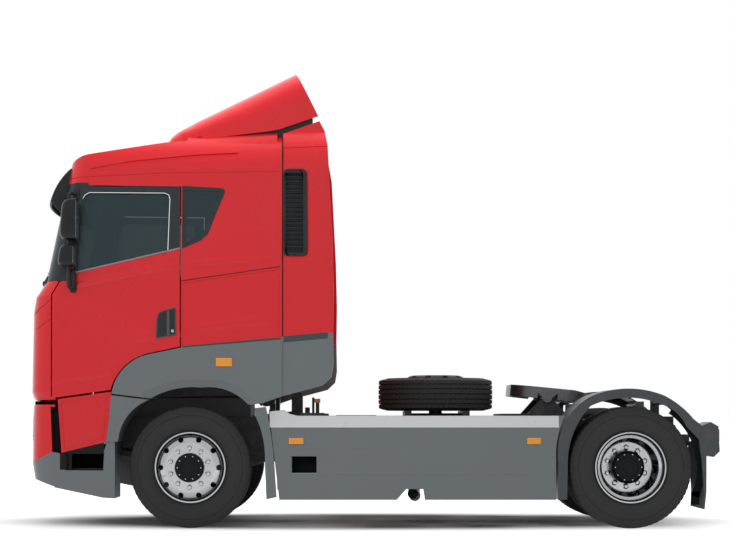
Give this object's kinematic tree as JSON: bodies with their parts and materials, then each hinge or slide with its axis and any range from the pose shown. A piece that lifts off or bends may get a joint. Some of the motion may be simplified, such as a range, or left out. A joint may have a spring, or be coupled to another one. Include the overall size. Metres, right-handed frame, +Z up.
{
  "type": "semi truck tractor unit",
  "caption": "Cab-over tractor unit with a tilting sleeper cab, roof deflector, side fairings, flat spare wheel and fifth wheel coupling.",
  "frame": {"origin": "on the ground, under the middle of the whole vehicle's box", "axes": "-X towards the nose, +Y towards the passenger's side, +Z up"},
  "size_m": [5.99, 2.984, 3.985],
  "materials": {
    "cab_red": "gloss",
    "panel_grey": "satin",
    "trim_black": "matte",
    "chassis_black": "satin",
    "glass_tint": "gloss",
    "tyre_rubber": "matte",
    "rim_alloy": "polished",
    "lamp_clear": "gloss",
    "lamp_amber": "gloss",
    "bare_steel": "worn",
    "tank_alloy": "brushed",
    "interior_grey": "matte",
    "seat_fabric": "woven",
    "cast_block": "rough"
  },
  "bodies": {
    "chassis": {"ladder_frame": "chassis_black", "front_axle": "chassis_black", "front_springs": "chassis_black", "rear_axle": "chassis_black", "rear_air_suspension": "chassis_black", "engine_block": "cast_block", "radiator": "chassis_black", "gearbox_and_propshaft": "cast_block", "fuel_tank": "tank_alloy", "silencer": "bare_steel", "battery_box": "chassis_black", "air_tanks": "chassis_black", "bumper": "cab_red", "bumper_lip": "panel_grey", "headlamps": "lamp_clear", "step_boxes": "panel_grey", "lower_side_panels": "cab_red", "front_mudguards": "panel_grey", "side_fairings": "panel_grey", "marker_lamps": "lamp_amber", "deck_plate": "bare_steel", "spare_carrier": "chassis_black", "spare_tyre": "tyre_rubber", "spare_rim": "chassis_black", "fifth_wheel_base": "chassis_black", "rear_mudguards": "trim_black", "tail_lamp_carriers": "trim_black"},
    "cab": {"cab_shell": "cab_red", "cab_beams": "chassis_black", "cab_glass": "glass_tint", "cab_skirts": "panel_grey", "cab_markers": "lamp_amber", "side_extenders": "cab_red", "grilles": "trim_black", "roof_deflector": "cab_red", "sun_visor": "trim_black", "dashboard": "interior_grey", "seats": "seat_fabric", "bunk": "seat_fabric"},
    "steering_wheel": {"steering_wheel": "trim_black"},
    "left_door": {"door_left": "cab_red", "door_glass_left": "glass_tint", "mirrors_left": "trim_black"},
    "right_door": {"door_right": "cab_red", "door_glass_right": "glass_tint", "mirrors_right": "trim_black"},
    "left_knuckle": {"knuckle_left": "chassis_black"},
    "right_knuckle": {"knuckle_right": "chassis_black"},
    "left_front_wheel": {"front_tyre_left": "tyre_rubber", "front_rim_left": "rim_alloy"},
    "right_front_wheel": {"front_tyre_right": "tyre_rubber", "front_rim_right": "rim_alloy"},
    "left_rear_wheels": {"rear_tyres_left": "tyre_rubber", "rear_rims_left": "rim_alloy"},
    "right_rear_wheels": {"rear_tyres_right": "tyre_rubber", "rear_rims_right": "rim_alloy"},
    "coupling_plate": {"fifth_wheel_plate": "bare_steel"}
  },
  "joints": [
    {"name": "cab_tilt", "type": "hinge", "parent": "chassis", "child": "cab", "pos_m": [-2.733, 0, 0.75], "axis": [0, -1, 0], "range_deg": [0, 60]},
    {"name": "left_door_hinge", "type": "hinge", "parent": "cab", "child": "left_door", "pos_m": [-2.678, -1.235, 1.5], "axis": [0, 0, -1], "range_deg": [0, 75]},
    {"name": "right_door_hinge", "type": "hinge", "parent": "cab", "child": "right_door", "pos_m": [-2.678, 1.235, 1.5], "axis": [0, 0, 1], "range_deg": [0, 75]},
    {"name": "left_steer", "type": "hinge", "parent": "chassis", "child": "left_knuckle", "pos_m": [-1.518, -0.9, 0.522], "axis": [0, 0, 1], "range_deg": [-40, 40]},
    {"name": "right_steer", "type": "hinge", "parent": "chassis", "child": "right_knuckle", "pos_m": [-1.518, 0.9, 0.522], "axis": [0, 0, 1], "range_deg": [-40, 40]},
    {"name": "steering_wheel_turn", "type": "hinge", "parent": "cab", "child": "steering_wheel", "pos_m": [-2.288, -0.6, 2.01], "axis": [0.6771, 0, 0.7359], "range_deg": [-720, 720]},
    {"name": "left_front_roll", "type": "hinge", "parent": "left_knuckle", "child": "left_front_wheel", "pos_m": [-1.518, -1.02, 0.522], "axis": [0, 1, 0], "continuous": true},
    {"name": "right_front_roll", "type": "hinge", "parent": "right_knuckle", "child": "right_front_wheel", "pos_m": [-1.518, 1.02, 0.522], "axis": [0, 1, 0], "continuous": true},
    {"name": "left_rear_roll", "type": "hinge", "parent": "chassis", "child": "left_rear_wheels", "pos_m": [2.242, -0.91, 0.522], "axis": [0, 1, 0], "continuous": true},
    {"name": "right_rear_roll", "type": "hinge", "parent": "chassis", "child": "right_rear_wheels", "pos_m": [2.242, 0.91, 0.522], "axis": [0, 1, 0], "continuous": true},
    {"name": "coupling_rock", "type": "hinge", "parent": "chassis", "child": "coupling_plate", "pos_m": [1.612, 0, 1.128], "axis": [0, -1, 0], "range_deg": [0, 20]}
  ],
  "couplings": [
    {"joint": "right_steer", "follows": "left_steer", "ratio": 1},
    {"joint": "steering_wheel_turn", "follows": "left_steer", "ratio": 18}
  ]
}
